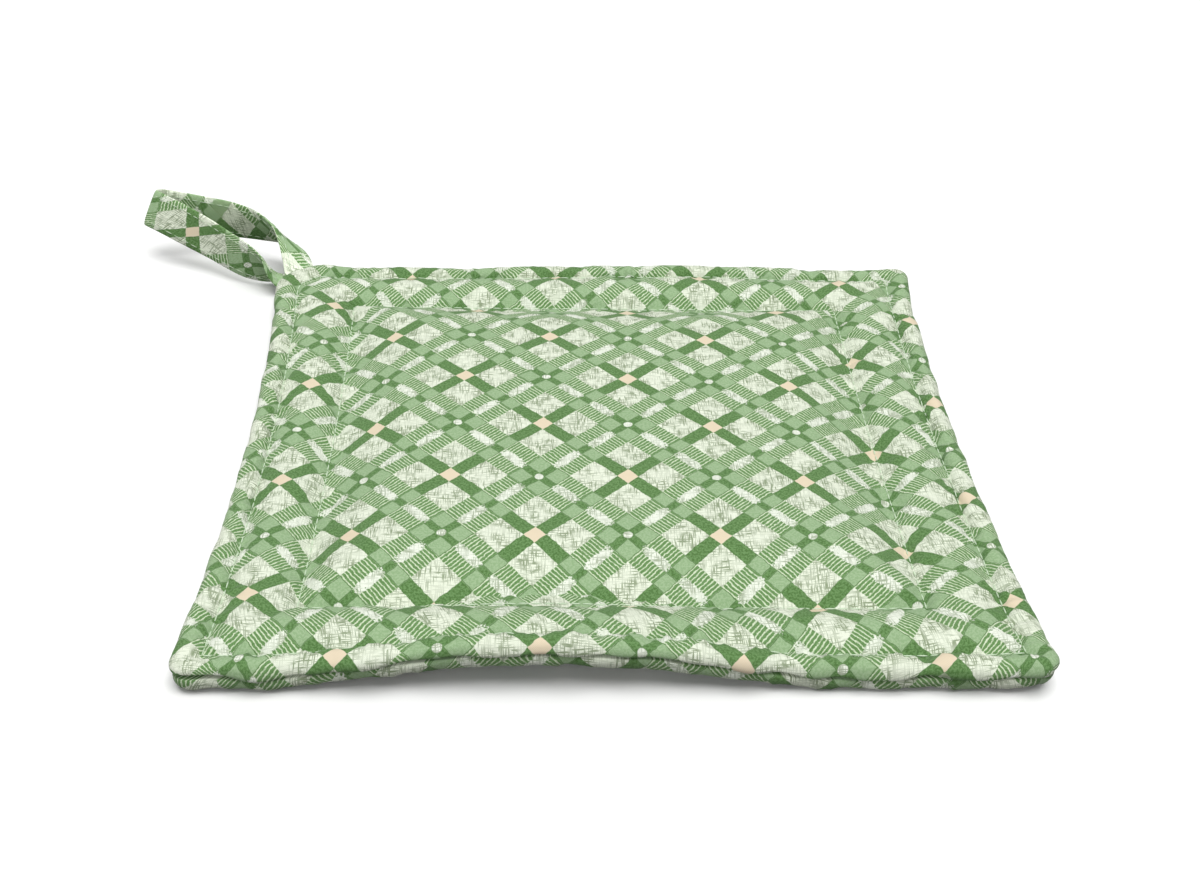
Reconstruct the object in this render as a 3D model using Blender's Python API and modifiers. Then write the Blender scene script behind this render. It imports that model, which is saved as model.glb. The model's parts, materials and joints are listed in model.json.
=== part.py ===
"""A quilted pot holder: a square pad of two padded cotton panels sewn together, with a hanging loop.

The pad lies on its back on the plane Z = 0, its middle at the origin, with +X to the right and +Y to
the back. The loop leaves the corner at -X +Y, where its two ends are caught in the seam, and stands on
edge clear of the surface. Sizes are in metres.
"""

import math
from collections import namedtuple

import bmesh
import bpy
import numpy as np
from mathutils import Vector

# The pad
HALF = 0.1016            # half the width of the sewn square, an 8 inch pot holder
CORNER_RADIUS = 0.006
LOOP_CORNER_RADIUS = 0.018
SEAM_HEIGHT = 0.0046     # of the seam between the panels above the surface, where the pad lies flat
SEAM_GAP = 0.0003        # between the two panels

# How far each side lies from the middle of the pad: the sides are drawn in between the corners
Side = namedtuple("Side", "at_middle at_corners")
LEFT = Side(0.0990, 0.1044)
RIGHT = Side(0.1012, 0.1050)
FRONT = Side(0.1014, 0.1024)
BACK = Side(0.1008, 0.1020)

# The padding of each panel from the outline inwards: above the seam on the front, below it on the back
Padding = namedtuple("Padding", "inset above below")
PADDING = (
    Padding(0.0000, 0.0005, 0.0006),   # the seam
    Padding(0.0010, 0.0025, 0.0029),
    Padding(0.0030, 0.0038, 0.0043),   # crest of the rolled edge
    Padding(0.0052, 0.0032, 0.0040),
    Padding(0.0071, 0.0015, 0.0031),   # edge stitching
    Padding(0.0092, 0.0030, 0.0042),
    Padding(0.0125, 0.0039, 0.0046),
    Padding(0.0170, 0.0041, 0.0046),   # crest of the border channel
    Padding(0.0215, 0.0034, 0.0044),
    Padding(0.0253, 0.0013, 0.0031),   # quilted square
    Padding(0.0275, 0.0031, 0.0041),
    Padding(0.0310, 0.0045, 0.0046),
    Padding(0.0380, 0.0055, 0.0046),
    Padding(0.0520, 0.0067, 0.0046),
    Padding(0.0680, 0.0074, 0.0046),
    Padding(0.0840, 0.0077, 0.0046),
    Padding(HALF, 0.0078, 0.0046),     # the crown, in the middle of the pad
)

# Where the front and back borders arch off the surface
Lift = namedtuple("Lift", "x height")
FRONT_ARCH = (
    Lift(-0.082, 0.0),
    Lift(-0.068, 0.0017),
    Lift(-0.050, 0.0042),
    Lift(-0.034, 0.0064),
    Lift(-0.018, 0.0070),
    Lift(0.000, 0.0060),
    Lift(0.018, 0.0042),
    Lift(0.033, 0.0018),
    Lift(0.046, 0.0),
)
BACK_ARCH = (
    Lift(-0.050, 0.0),
    Lift(-0.020, 0.0011),
    Lift(0.005, 0.0020),
    Lift(0.035, 0.0024),
    Lift(0.060, 0.0014),
    Lift(0.080, 0.0004),
    Lift(0.095, 0.0),
)
ARCH_REACH = 0.028       # from the edge to where an arch has died out

# Corners that curl up a little
Curl = namedtuple("Curl", "x_side y_side height")
CORNER_CURLS = (
    Curl(1, -1, 0.0017),
    Curl(1, 1, 0.0014),
)
CURL_REACH = 0.022

# The hanging loop: a folded strip, creased at its far end
STRIP_THICKNESS = 0.0014
POCKET_MOUTH = (-0.0989, 0.0989)   # where the corner seam takes in both ends of the strip
POCKET_HALF_GAP = 0.0019           # between each panel and the middle of the two stacked ends
POCKET_HALF_WIDTH = 0.0084
POCKET_DEPTH = 0.0098
POCKET_FADE = 0.0052
POCKET_PINCH = 0.40                # share of the padding squeezed out over the pocket
ALONG_STEPS = 120
ACROSS_STEPS = 2

# Sections of the strip, from its lower end round the crease to its upper end: the middle of its width,
# how many degrees its width leans from upright, the bearing that it leans to, anticlockwise from +X,
# and the width
Section = namedtuple("Section", "x y z lean bearing width")
LOOP_SECTIONS = (
    Section(-0.0932, 0.0938, 0.00375, 90, 230, 0.0125),    # lower end, in the seam
    Section(-0.0992, 0.0982, 0.00375, 90, 235, 0.0125),
    Section(-0.1031, 0.0993, 0.0047, 70, 243, 0.0130),
    Section(-0.1068, 0.0998, 0.0069, 29, 243, 0.0137),
    Section(-0.1112, 0.1011, 0.0083, 11, 245, 0.0140),
    Section(-0.1165, 0.1032, 0.0099, 3, 65, 0.0137),
    Section(-0.1275, 0.1103, 0.0130, 8, 55, 0.0140),
    Section(-0.1457, 0.1208, 0.0176, 24, 24, 0.0130),
    Section(-0.1480, 0.1230, 0.0178, 25, 24, 0.0130),      # crease
    Section(-0.1456, 0.1245, 0.0173, 24, 24, 0.0130),
    Section(-0.1250, 0.1230, 0.0144, 3, 90, 0.0131),
    Section(-0.1122, 0.1192, 0.0135, 16, 248, 0.0132),
    Section(-0.1036, 0.1137, 0.0123, 38, 233, 0.0122),
    Section(-0.0997, 0.1084, 0.0105, 60, 213, 0.0104),
    Section(-0.0977, 0.1040, 0.0080, 76, 204, 0.0100),
    Section(-0.0967, 0.1010, 0.0062, 83, 206, 0.0104),
    Section(-0.0954, 0.0980, 0.00545, 90, 212, 0.0106),
    Section(-0.0930, 0.0938, 0.00545, 90, 220, 0.0106),    # upper end, in the seam
)


def clear_scene():
    for obj in list(bpy.data.objects):
        bpy.data.objects.remove(obj, do_unlink=True)


def cotton(name, colour):
    """A matt woven cotton of one mean colour."""
    material = bpy.data.materials.new(name)
    material.use_nodes = True
    shader = material.node_tree.nodes["Principled BSDF"]
    shader.inputs["Base Color"].default_value = (*colour, 1.0)
    shader.inputs["Roughness"].default_value = 0.92
    shader.inputs["Metallic"].default_value = 0.0
    material.diffuse_color = (*colour, 1.0)
    return material


def smooth(share):
    share = min(max(share, 0.0), 1.0)
    return share * share * (3 - 2 * share)


def between(rows, key, at):
    """The row pair on each side of a value of the key column, and the share of the way between them."""
    for low, high in zip(rows, rows[1:]):
        if at <= getattr(high, key):
            break
    span = getattr(high, key) - getattr(low, key)
    return low, high, min(max((at - getattr(low, key)) / span, 0.0), 1.0)


def padding_at(inset):
    low, high, share = between(PADDING, "inset", inset)
    above = low.above + (high.above - low.above) * share
    below = low.below + (high.below - low.below) * share
    return above, below


def height_at(arch, x):
    low, high, share = between(arch, "x", x)
    return low.height + (high.height - low.height) * share


def lift_at(x, y):
    """How far the pad stands off the surface."""
    lift = height_at(FRONT_ARCH, x) * smooth(1 - (HALF + y) / ARCH_REACH)
    lift += height_at(BACK_ARCH, x) * smooth(1 - (HALF - y) / ARCH_REACH)
    for curl in CORNER_CURLS:
        away = math.hypot(x - curl.x_side * HALF, y - curl.y_side * HALF)
        lift += curl.height * smooth(1 - away / CURL_REACH)
    return lift


def pocket_at(x, y):
    """1 over the strip ends that the corner seam takes in, fading to 0 around them."""
    across = abs((x - POCKET_MOUTH[0]) + (y - POCKET_MOUTH[1])) * math.sqrt(0.5)
    inwards = ((x - POCKET_MOUTH[0]) - (y - POCKET_MOUTH[1])) * math.sqrt(0.5)
    away = math.hypot(max(across - POCKET_HALF_WIDTH, 0), max(inwards - POCKET_DEPTH, 0))
    return smooth(1 - away / POCKET_FADE)


def outline_point(x, y):
    """Where a point of the flat square lies on the pad: corners rounded, sides drawn in."""
    reach = max(abs(x), abs(y))
    at_loop = x < 0 < y
    radius = LOOP_CORNER_RADIUS if at_loop else CORNER_RADIUS
    radius *= max(1 - (HALF - reach) / radius, 0.0)
    centre = reach - radius
    if min(abs(x), abs(y)) > centre:
        out = Vector((abs(x) - centre, abs(y) - centre))
        out = out.normalized() * radius
        x = math.copysign(centre + out.x, x)
        y = math.copysign(centre + out.y, y)
    return drawn(x, y, LEFT if x < 0 else RIGHT), drawn(y, x, FRONT if y < 0 else BACK)


def drawn(across, along, side):
    """The distance across the pad of a point on or inside a drawn-in side."""
    edge = side.at_middle + (side.at_corners - side.at_middle) * (along / HALF) ** 2
    return across + math.copysign(1, across) * (edge - HALF) * (abs(across) / HALF) ** 3


def panel(name, material, front):
    """One padded half of the pad, from the seam plane to its quilted face."""
    lines = [row.inset - HALF for row in PADDING] + [HALF - row.inset for row in PADDING[-2::-1]]
    steps = len(lines) - 1
    mesh = bmesh.new()
    bmesh.ops.create_grid(mesh, x_segments=steps, y_segments=steps, size=steps / 2)
    seam_side = set(mesh.verts)
    bmesh.ops.extrude_face_region(mesh, geom=mesh.faces[:], use_keep_orig=True)
    for vert in mesh.verts:
        flat_x = lines[round(vert.co.x + steps / 2)]
        flat_y = lines[round(vert.co.y + steps / 2)]
        inset = HALF - max(abs(flat_x), abs(flat_y))
        x, y = outline_point(flat_x, flat_y)
        pocket = pocket_at(x, y)
        seam = SEAM_HEIGHT + lift_at(x, y)
        gap = SEAM_GAP / 2 + (POCKET_HALF_GAP - SEAM_GAP / 2) * pocket
        thickness = 0.0 if vert in seam_side else padding_at(inset)[0 if front else 1]
        thickness *= 1 - POCKET_PINCH * pocket
        away = gap + max(thickness - SEAM_GAP / 2, 0.0)
        vert.co = (x, y, seam + away if front else max(seam - away, lift_at(x, y)))
    bmesh.ops.recalc_face_normals(mesh, faces=mesh.faces[:])
    return finished(name, mesh, material)


def strip_sections():
    """The middle, the direction towards the upper edge, and the width, at even steps along the loop."""
    rows = []
    for s in LOOP_SECTIONS:
        lean, bearing = math.radians(s.lean), math.radians(s.bearing)
        sideways = math.sin(lean)
        up = (math.cos(bearing) * sideways, math.sin(bearing) * sideways, math.cos(lean))
        rows.append((s.x, s.y, s.z, *up, s.width))
    rows = np.array(rows)
    lengths = np.concatenate([[0.0], np.linalg.norm(np.diff(rows[:, :3], axis=0), axis=1).cumsum()])
    curve = through(lengths, rows, np.linspace(0.0, lengths[-1], ALONG_STEPS + 1))
    middles, ups, widths = curve[:, :3], curve[:, 3:6], curve[:, 6]
    return middles, ups / np.linalg.norm(ups, axis=1, keepdims=True), widths


def through(lengths, rows, at):
    """A smooth curve through the rows, sampled at the given lengths. It never swings past a row."""
    rises = np.diff(rows, axis=0) / np.diff(lengths)[:, None]
    before, after = rises[:-1], rises[1:]
    steady = before * after > 0
    total = np.where(steady, before + after, 1.0)
    slopes = np.vstack([rises[:1], np.where(steady, 2 * before * after / total, 0.0), rises[-1:]])
    k = np.clip(np.searchsorted(lengths, at, side="right") - 1, 0, len(lengths) - 2)
    span = (lengths[k + 1] - lengths[k])[:, None]
    t = (at - lengths[k])[:, None] / span
    return (
        rows[k] * (2 * t**3 - 3 * t**2 + 1)
        + slopes[k] * span * (t**3 - 2 * t**2 + t)
        + rows[k + 1] * (3 * t**2 - 2 * t**3)
        + slopes[k + 1] * span * (t**3 - t**2)
    )


def hanging_loop(name, material):
    """The strip as an open surface along its sections, thickened evenly both ways."""
    mesh = bmesh.new()
    bmesh.ops.create_grid(mesh, x_segments=ALONG_STEPS, y_segments=ACROSS_STEPS, size=1)
    middles, ups, widths = strip_sections()
    for vert in mesh.verts:
        step = round((vert.co.x + 1) * ALONG_STEPS / 2)
        vert.co = middles[step] + ups[step] * (widths[step] / 2 * vert.co.y)
    bmesh.ops.recalc_face_normals(mesh, faces=mesh.faces[:])
    obj = finished(name, mesh, material)
    shell = obj.modifiers.new("Thickness", "SOLIDIFY")
    shell.thickness = STRIP_THICKNESS
    shell.offset = 0.0
    shell.use_even_offset = False
    return obj


def finished(name, mesh, material):
    """The mesh as a named object, smooth but for its seam edges."""
    data = bpy.data.meshes.new(name)
    mesh.to_mesh(data)
    mesh.free()
    data.materials.append(material)
    data.shade_smooth()
    data.set_sharp_from_angle(angle=math.radians(60))
    obj = bpy.data.objects.new(name, data)
    PARTS.objects.link(obj)
    return obj


clear_scene()
PARTS = bpy.data.collections.new("quilted_pot_holder")
bpy.context.scene.collection.children.link(PARTS)

panel("front_panel", cotton("front_cotton", (0.36, 0.50, 0.27)), front=True)
panel("back_panel", cotton("back_cotton", (0.32, 0.46, 0.25)), front=False)
hanging_loop("hanging_loop", cotton("loop_cotton", (0.28, 0.44, 0.22)))
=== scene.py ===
# %% [markdown]
# # A quilted pot holder
# A pot holder is a small quilt: a printed cotton front and a back, wadding between them, one seam
# all round, and two lines of stitching that hold the layers together. A folded strip of the same
# cotton is caught in one corner as a hanging loop. This script dresses the measured CAD part: it
# makes the two covers as cloth, puffs them up by simulation, prints the plaid, folds the loop, and
# sews. Sizes are in metres, +X is to the right, +Y to the back, and the pad lies on Z = 0.

# %% Load the measured part
import json
import math
from collections import namedtuple

import bmesh
import bpy
import numpy as np
from mathutils import Matrix, Vector, noise
from mathutils.bvhtree import BVHTree

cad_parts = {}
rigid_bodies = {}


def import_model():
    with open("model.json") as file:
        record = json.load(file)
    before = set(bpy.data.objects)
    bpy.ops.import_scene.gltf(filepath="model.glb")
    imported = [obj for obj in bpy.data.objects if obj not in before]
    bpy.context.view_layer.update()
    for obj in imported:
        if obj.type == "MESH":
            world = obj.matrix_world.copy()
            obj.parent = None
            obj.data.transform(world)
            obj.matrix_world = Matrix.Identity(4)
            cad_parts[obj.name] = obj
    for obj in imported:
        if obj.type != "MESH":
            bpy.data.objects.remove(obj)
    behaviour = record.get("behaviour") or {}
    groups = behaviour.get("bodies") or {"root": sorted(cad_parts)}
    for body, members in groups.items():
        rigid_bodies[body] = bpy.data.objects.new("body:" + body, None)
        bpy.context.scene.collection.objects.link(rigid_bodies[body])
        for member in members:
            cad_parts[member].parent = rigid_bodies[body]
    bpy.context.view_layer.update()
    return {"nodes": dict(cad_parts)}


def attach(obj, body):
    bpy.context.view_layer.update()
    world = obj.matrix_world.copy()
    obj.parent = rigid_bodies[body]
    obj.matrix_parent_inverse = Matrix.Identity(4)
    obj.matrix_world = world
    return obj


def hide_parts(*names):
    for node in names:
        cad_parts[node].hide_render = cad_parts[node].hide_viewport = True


for obj in list(bpy.data.objects):
    bpy.data.objects.remove(obj)
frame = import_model()
MM = 0.001
print("nodes:", sorted(frame["nodes"]))

# %% [markdown]
# ## The camera
# The pad is seen from the front, from a little above arm's height over a table. A 50 mm lens on a
# 36 mm sensor keeps the square from looking stretched. The rotation is built from three plain
# turns: swing to one side, tip down, and a slight roll of the camera itself.

# %% Camera
CAMERA_PLACE = Vector((-0.0209, -0.3942, 0.2607))
SWING, TIP_DOWN, ROLL = math.radians(-2.94), math.radians(33.13), math.radians(1.95)

scene = bpy.context.scene
lens = bpy.data.cameras.new("camera")
lens.lens, lens.sensor_width = 50, 36
lens.clip_start, lens.clip_end = 0.01, 20
camera = bpy.data.objects.new("camera", lens)
camera.matrix_world = (
    Matrix.Translation(CAMERA_PLACE)
    @ Matrix.Rotation(SWING, 4, "Z")
    @ Matrix.Rotation(math.pi / 2 - TIP_DOWN, 4, "X")
    @ Matrix.Rotation(ROLL, 4, "Z")
)
scene.collection.objects.link(camera)
scene.camera = camera
print("camera at", [round(v, 3) for v in CAMERA_PLACE])

# %% [markdown]
# ## The light
# White cotton on a white table needs broad light, or the folds turn black. A lamp far away lights
# every place alike, and the wider its disc looks from the table, the softer its shadow. Here one
# disc stands overhead and a little to the front, a wider one softens it, and a weak one from the
# front left lifts the near edge. A dim white world fills in the rest from every side. Together
# they are a little brighter than white on the table, so that its mild shades clip to plain white.

# %% Lamps and world
WORLD_LIGHT = 0.22


def far_lamp(name, towards, spread, brightness):
    """A far lamp, seen from the table as a disc: brightness is what it adds to a white table."""
    data = bpy.data.lights.new(name, "SUN")
    direction = Vector(towards).normalized()
    data.angle, data.energy = math.radians(spread), brightness * math.pi / direction.z
    lamp = bpy.data.objects.new(name, data)
    lamp.rotation_euler = direction.to_track_quat("Z", "Y").to_euler()
    scene.collection.objects.link(lamp)


scene.view_settings.view_transform = "Standard"
far_lamp("window", (0.06, -0.24, 1.0), spread=40, brightness=0.56)
far_lamp("softbox", (0.15, 0.12, 1.0), spread=75, brightness=0.40)
far_lamp("fill", (-0.55, -1.0, 0.50), spread=40, brightness=0.085)

world = bpy.data.worlds.new("studio")
world.use_nodes = True
sky = world.node_tree.nodes["Background"]
sky.inputs["Color"].default_value = (1.0, 1.0, 1.0, 1.0)
sky.inputs["Strength"].default_value = WORLD_LIGHT
scene.world = world

# %% [markdown]
# ## Wiring a material
# A printed cotton needs many small sums, and a node tree is only sums. A few helpers keep the
# wiring short: one adds a node and fills its inputs with numbers or with the outputs of other
# nodes, one does a sum, one lays a colour over another by a mask, and one turns a range of values
# into a mask with soft ends.

# %% Node helpers
def new_material(name):
    """A new material, its node tree and its shader."""
    material = bpy.data.materials.new(name)
    material.use_nodes = True
    return material, material.node_tree, material.node_tree.nodes["Principled BSDF"]


def fill(tree, socket, value):
    """Joins an input to another node's output, or sets it to a number, a vector or a colour."""
    if isinstance(value, bpy.types.NodeSocket):
        tree.links.new(value, socket)
    elif value is not None:
        socket.default_value = value


def node(tree, kind, *inputs, **settings):
    """One node with its settings made and its inputs joined or filled; gives its first output."""
    made = tree.nodes.new(kind)
    for name, value in settings.items():
        setattr(made, name, value)
    for socket, value in zip(made.inputs, inputs):
        fill(tree, socket, value)
    return made.outputs[0]


def maths(tree, operation, *inputs):
    """One sum."""
    return node(tree, "ShaderNodeMath", *inputs, operation=operation)


def painted(tree, under, over, mask):
    """The colour over, laid on the colour under where the mask is 1."""
    mix = tree.nodes.new("ShaderNodeMix")
    mix.data_type = "RGBA"
    fill(tree, mix.inputs[0], mask)
    for socket, colour in ((mix.inputs[6], under), (mix.inputs[7], over)):
        fill(tree, socket, (*colour, 1.0) if isinstance(colour, tuple) else colour)
    return mix.outputs[2]


def ramp(tree, value, low, high, to_low=0.0, to_high=1.0):
    """Runs smoothly from to_low to to_high as the value goes from low to high."""
    return node(
        tree, "ShaderNodeMapRange", value, low, high, to_low, to_high,
        interpolation_type="SMOOTHSTEP",
    )


def srgb(red, green, blue):
    """A paint colour from 0 to 255 as the linear colour that a shader takes."""
    return tuple(
        c / 12.92 if c <= 0.04045 else ((c + 0.055) / 1.055) ** 2.4
        for c in (red / 255, green / 255, blue / 255)
    )


print("half way to white is", round(srgb(128, 128, 128)[0], 3), "of its light")

# %% [markdown]
# ## The floor
# The pad lies on a plain white sheet. A sheet as white as this would throw a lot of light up under
# the pad's edge and wash out the dark line of its seam. So the camera sees a white floor, and the
# pad gets the light of a greyer one: the Light Path node tells the two kinds of ray apart.

# %% Floor
FLOOR_WHITE = (0.95, 0.95, 0.945)
FLOOR_BOUNCE = (0.18, 0.18, 0.18)       # the floor that lights the pad from below
FLOOR_HALF = 4.0

floor_mesh = bmesh.new()
bmesh.ops.create_grid(floor_mesh, x_segments=2, y_segments=2, size=FLOOR_HALF)
floor_data = bpy.data.meshes.new("floor")
floor_mesh.to_mesh(floor_data)
floor_mesh.free()
floor = bpy.data.objects.new("floor", floor_data)
scene.collection.objects.link(floor)
paper, paper_tree, paper_shader = new_material("white_floor")
camera_ray = node(paper_tree, "ShaderNodeLightPath")
paper_tree.links.new(
    painted(paper_tree, FLOOR_BOUNCE, FLOOR_WHITE, camera_ray), paper_shader.inputs["Base Color"]
)
paper_shader.inputs["Roughness"].default_value = 0.9
floor_data.materials.append(paper)
print("floor:", round(2 * FLOOR_HALF), "m across")

# %% [markdown]
# ## The sewn square
# A sewn square is never quite square. The wadding takes up cloth, so each side is drawn in
# between its corners, and turning the work right side out leaves the corners rounded. The corner
# that takes in the loop is rounder than the others. These are the same values as in the CAD part,
# because the cloth has to lie where the solids are.

# %% Outline
HALF = 0.1016                   # half a side of the flat square: it is the usual 8 inches
CORNER_RADIUS, LOOP_CORNER_RADIUS = 0.006, 0.018
Side = namedtuple("Side", "at_middle at_corners")
LEFT, RIGHT = Side(0.0990, 0.1044), Side(0.1012, 0.1050)
FRONT, BACK = Side(0.1014, 0.1024), Side(0.1008, 0.1020)


def rounded(x, y):
    """A point of the flat square, moved in where its ring round the square has a round corner."""
    reach = max(abs(x), abs(y))
    radius = LOOP_CORNER_RADIUS if x < 0 < y else CORNER_RADIUS
    radius *= max(1 - (HALF - reach) / radius, 0.0)
    centre = reach - radius
    if min(abs(x), abs(y)) > centre:
        out = Vector((abs(x) - centre, abs(y) - centre)).normalized() * radius
        x, y = math.copysign(centre + out.x, x), math.copysign(centre + out.y, y)
    return x, y


def drawn(across, along, side):
    """The distance across the pad of a point on or inside a drawn-in side."""
    edge = side.at_middle + (side.at_corners - side.at_middle) * (along / HALF) ** 2
    return across + math.copysign(1, across) * (edge - HALF) * (abs(across) / HALF) ** 3


def outline_point(x, y):
    """Where a point of the flat square lies on the sewn one."""
    x, y = rounded(x, y)
    return drawn(x, y, LEFT if x < 0 else RIGHT), drawn(y, x, FRONT if y < 0 else BACK)


print("left side, middle:", [round(v / MM, 1) for v in outline_point(-HALF, 0)], "mm")

# %% [markdown]
# ## Two smooth shapes
# Cloth has no corners, so everything here bends by one of two rules. A smooth step eases from 0
# to 1, and lets a form die out. A smooth curve runs through a few measured points. It could be a
# plain spline, but a spline swings past its points where they bend sharply, and would make ripples
# beside each line of stitching. This one takes a slope that never overshoots.

# %% Smooth step and smooth curve
def smooth(share):
    """0 up to 0 and 1 from 1 on, with a soft start and end between."""
    share = min(max(share, 0.0), 1.0)
    return share * share * (3 - 2 * share)


def through(lengths, rows, at):
    """A smooth curve through the rows, sampled at the given lengths. It never swings past a row."""
    rises = np.diff(rows, axis=0) / np.diff(lengths)[:, None]
    before, after = rises[:-1], rises[1:]
    steady = before * after > 0
    total = np.where(steady, before + after, 1.0)
    slopes = np.vstack([
        rises[:1], np.where(steady, 2 * before * after / total, 0.0), rises[-1:],
    ])
    k = np.clip(np.searchsorted(lengths, at, side="right") - 1, 0, len(lengths) - 2)
    span = (lengths[k + 1] - lengths[k])[:, None]
    t = (at - lengths[k])[:, None] / span
    return (
        rows[k] * (2 * t**3 - 3 * t**2 + 1) + slopes[k] * span * (t**3 - 2 * t**2 + t)
        + rows[k + 1] * (3 * t**2 - 2 * t**3) + slopes[k + 1] * span * (t**3 - t**2)
    )


print("a quarter of the way, a smooth step is at", round(smooth(0.25), 3))

# %% [markdown]
# ## How the pad lies
# The wadding is springy, so the front border arches off the table, the back border a little, and
# two corners curl. Each arch is a curve of heights along its border, in millimetres, and dies out
# towards the middle of the pad.

# %% Arches and curls
FRONT_ARCH = np.array((
    (-82, 0.0), (-68, 1.7), (-50, 4.2), (-34, 6.4), (-18, 7.0),
    (0, 6.0), (18, 4.2), (33, 1.8), (46, 0.0),
)) * MM
BACK_ARCH = np.array((
    (-50, 0.0), (-20, 1.1), (5, 2.0), (35, 2.4), (60, 1.4), (80, 0.4), (95, 0.0),
)) * MM
ARCH_REACH, CURL_REACH = 0.028, 0.022           # how far in from the edge they die out
CORNER_CURLS = ((1, -1, 0.0017), (1, 1, 0.0014))    # side in x, side in y, height


def arch_at(arch, x):
    """The height of an arch over a place along its border."""
    if not arch[0, 0] < x < arch[-1, 0]:
        return 0.0
    return float(through(arch[:, 0], arch[:, 1:], np.array([x]))[0, 0])


def lift_at(x, y):
    """How far the pad stands off the table."""
    lift = arch_at(FRONT_ARCH, x) * smooth(1 - (HALF + y) / ARCH_REACH)
    lift += arch_at(BACK_ARCH, x) * smooth(1 - (HALF - y) / ARCH_REACH)
    for x_side, y_side, height in CORNER_CURLS:
        away = math.hypot(x - x_side * HALF, y - y_side * HALF)
        lift += height * smooth(1 - away / CURL_REACH)
    return lift


print("front arch at its highest:", round(lift_at(-0.018, -HALF) / MM, 1), "mm")

# %% [markdown]
# ## The seam and its pocket
# Front and back meet at one seam, half way up the edge. A turned seam wanders a little up and down,
# and noise gives it that. At the back left corner both ends of the loop go in between the covers:
# there the seam opens into a small pocket, so that the covers lie round the strip and don't cut
# through it.

# %% Seam and pocket
SEAM_HEIGHT, SEAM_GAP = 0.0046, 0.0003
SEAM_WAVE, SEAM_WAVE_LONG = 0.0011, 0.017       # how far the seam wanders, and over what length
SEAM_WAVE_SEED = 3.0
POCKET_MOUTH = (-0.0989, 0.0989)
POCKET_HALF_GAP, POCKET_HALF_WIDTH, POCKET_DEPTH, POCKET_FADE = 0.0019, 0.0084, 0.0098, 0.0052
POCKET_PINCH = 0.40             # share of the padding that the pocket presses flat


def seam_wave(x, y):
    """The seam wanders up and down a little between the two rolls."""
    return SEAM_WAVE * noise.noise(Vector((x / SEAM_WAVE_LONG, y / SEAM_WAVE_LONG, SEAM_WAVE_SEED)))


def pocket_at(x, y):
    """1 over the strip ends that the corner seam takes in, fading to 0 around them."""
    across = abs((x - POCKET_MOUTH[0]) + (y - POCKET_MOUTH[1])) * math.sqrt(0.5)
    inwards = ((x - POCKET_MOUTH[0]) - (y - POCKET_MOUTH[1])) * math.sqrt(0.5)
    away = math.hypot(max(across - POCKET_HALF_WIDTH, 0), max(inwards - POCKET_DEPTH, 0))
    return smooth(1 - away / POCKET_FADE)


print("pocket:", round(2 * POCKET_HALF_GAP / MM, 1), "mm high,", round(POCKET_DEPTH / MM, 1), "mm deep")

# %% [markdown]
# ## A section through the quilting
# Cut the pad from its edge to its middle and the cover runs in three bulges: the rolled edge out
# from the seam, the channel between the two lines of stitching, and the big square in the middle.
# Each stitch line pinches the cover down to a sharp valley. The section is a list of lines that run
# round the pad, each with its distance in from the outline and its height off the seam, both in
# millimetres. The lines of the mesh lie on them, so that a stitch line is always a line of the mesh.

# %% Section of each cover
EDGE_STITCH, QUILTED_SQUARE = 0.0071, 0.0253
FRONT_ROLL = (
    (1.10, 0.15), (0.45, 0.50), (0.12, 1.15), (0.15, 1.85), (0.50, 2.60), (1.20, 3.20),
    (2.20, 3.60), (3.30, 3.70), (4.50, 3.50), (5.60, 3.00), (6.50, 2.30), (7.10, 1.50),
)
FRONT_CHANNEL = (
    (7.1, 1.5), (7.9, 2.6), (9.5, 3.6), (12.5, 4.3), (16.5, 4.5), (20.0, 4.1), (22.8, 3.1),
    (24.4, 1.8), (25.3, 0.9),
)
FRONT_MIDDLE = (
    (25.3, 0.9), (26.2, 2.1), (27.6, 3.2), (31.0, 4.6), (38.0, 5.7), (52.0, 6.8), (68.0, 7.4),
    (84.0, 7.7), (101.6, 7.8),
)
BACK_ROLL = (
    (1.20, 0.15), (1.00, 0.60), (0.95, 1.25), (1.05, 2.05), (1.35, 2.90), (1.85, 3.55),
    (2.60, 4.00), (3.50, 4.20), (4.60, 4.10), (5.70, 3.80), (6.50, 3.40), (7.10, 3.00),
)
BACK_CHANNEL = (
    (7.1, 3.0), (8.4, 3.9), (10.5, 4.4), (13.5, 4.6), (16.2, 4.6), (20.0, 4.5), (23.0, 4.0),
    (24.4, 3.5), (25.3, 3.0),
)
BACK_MIDDLE = ((25.3, 3.0), (26.6, 3.7), (29.0, 4.4), (33.0, 4.6), (101.6, 4.6))
# where the mesh has its lines: close together beside the stitching, wider in between
CHANNEL_LINES = (
    7.8, 8.7, 9.8, 11.1, 12.5, 14.0, 15.5, 17.0, 18.5, 20.0, 21.4, 22.6, 23.6, 24.5, 25.3,
)
MIDDLE_LINES = (26.1, 27.1, 28.3, 29.6)
FRONT_STEP, BACK_STEP = 1.6, 3.0


def section(roll, channel, middle, step):
    """Insets and heights of the cover's lines, from the seam to the middle of the pad."""
    channel, middle = np.array(channel), np.array(middle)
    last = MIDDLE_LINES[-1]
    count = round((HALF / MM - last) / step)
    inner = np.concatenate([MIDDLE_LINES, np.linspace(last, HALF / MM, count + 1)[1:]])
    rows = [np.array(roll)]
    for curve, at in ((channel, np.array(CHANNEL_LINES)), (middle, inner)):
        rows.append(np.column_stack([at, through(curve[:, 0], curve[:, 1:], at)[:, 0]]))
    return np.vstack(rows) * MM


front_section = section(FRONT_ROLL, FRONT_CHANNEL, FRONT_MIDDLE, FRONT_STEP)
back_section = section(BACK_ROLL, BACK_CHANNEL, BACK_MIDDLE, BACK_STEP)
print("lines from seam to middle:", len(front_section), "front,", len(back_section), "back")

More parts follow.
